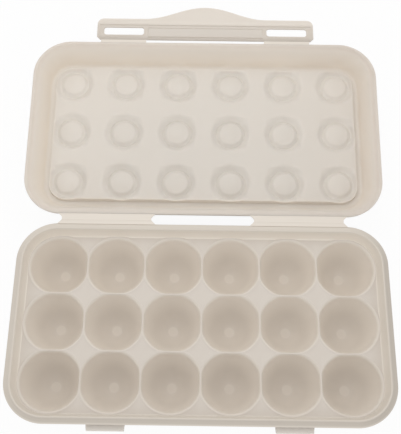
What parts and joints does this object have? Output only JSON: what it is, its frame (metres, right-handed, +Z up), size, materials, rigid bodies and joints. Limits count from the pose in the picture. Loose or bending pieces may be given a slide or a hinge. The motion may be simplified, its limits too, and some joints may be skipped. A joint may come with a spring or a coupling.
{
  "type": "egg box",
  "caption": "Hinged plastic egg keeper with moulded cups in the tray, a lid with matching dimples on folding strips, and a slotted latch flap that snaps over catches.",
  "frame": {"origin": "on the table, under the middle of the opened box", "axes": "+X along the hinge to the right as seen from the catches, +Y from the tray towards the opened lid, +Z up"},
  "size_m": [0.316, 0.3882, 0.0613],
  "materials": {
    "tray_plastic": "satin moulded polypropylene, warm greige",
    "cup_plastic": "satin moulded polypropylene, warm greige",
    "catch_plastic": "satin moulded polypropylene, warm greige",
    "lid_plastic": "satin moulded polypropylene, warm greige",
    "hinge_plastic": "thin folding film, slightly paler",
    "latch_plastic": "satin moulded polypropylene, warm greige"
  },
  "bodies": {
    "tray": {"tray_rim": "tray_plastic", "tray_wall": "tray_plastic", "tray_skirt_front": "tray_plastic", "tray_skirt_back": "tray_plastic", "tray_skirt_left": "tray_plastic", "tray_skirt_right": "tray_plastic", "cup_row1_col1": "cup_plastic", "cup_row1_col2": "cup_plastic", "cup_row1_col3": "cup_plastic", "cup_row1_col4": "cup_plastic", "cup_row1_col5": "cup_plastic", "cup_row1_col6": "cup_plastic", "cup_row2_col1": "cup_plastic", "cup_row2_col2": "cup_plastic", "cup_row2_col3": "cup_plastic", "cup_row2_col4": "cup_plastic", "cup_row2_col5": "cup_plastic", "cup_row2_col6": "cup_plastic", "cup_row3_col1": "cup_plastic", "cup_row3_col2": "cup_plastic", "cup_row3_col3": "cup_plastic", "cup_row3_col4": "cup_plastic", "cup_row3_col5": "cup_plastic", "cup_row3_col6": "cup_plastic", "catch_left": "catch_plastic", "catch_right": "catch_plastic", "hinge_leaf_tray_left": "hinge_plastic", "hinge_leaf_tray_right": "hinge_plastic"},
    "lid": {"lid_rim": "lid_plastic", "lid_wall_hinge_left": "lid_plastic", "lid_wall_hinge_right": "lid_plastic", "lid_wall_latch_left": "lid_plastic", "lid_wall_latch_right": "lid_plastic", "lid_trough": "lid_plastic", "lid_panel_row3_col1": "lid_plastic", "lid_panel_row3_col2": "lid_plastic", "lid_panel_row3_col3": "lid_plastic", "lid_panel_row3_col4": "lid_plastic", "lid_panel_row3_col5": "lid_plastic", "lid_panel_row3_col6": "lid_plastic", "lid_panel_row2_col1": "lid_plastic", "lid_panel_row2_col2": "lid_plastic", "lid_panel_row2_col3": "lid_plastic", "lid_panel_row2_col4": "lid_plastic", "lid_panel_row2_col5": "lid_plastic", "lid_panel_row2_col6": "lid_plastic", "lid_panel_row1_col1": "lid_plastic", "lid_panel_row1_col2": "lid_plastic", "lid_panel_row1_col3": "lid_plastic", "lid_panel_row1_col4": "lid_plastic", "lid_panel_row1_col5": "lid_plastic", "lid_panel_row1_col6": "lid_plastic", "hinge_leaf_lid_left": "hinge_plastic", "hinge_leaf_lid_right": "hinge_plastic", "latch_film_left": "hinge_plastic", "latch_film_right": "hinge_plastic"},
    "latch": {"latch_plate": "latch_plastic", "latch_lip": "latch_plastic"}
  },
  "joints": [
    {"name": "lid_hinge", "type": "hinge", "parent": "tray", "child": "lid", "pos_m": [0, -0.01677, 0.04615], "axis": [1, 0, 0], "range_deg": [-12.5, 175.8]},
    {"name": "latch_hinge", "type": "hinge", "parent": "lid", "child": "latch", "pos_m": [0, 0.15853, 0.05807], "axis": [1, 0, 0], "range_deg": [-60, 90]}
  ]
}
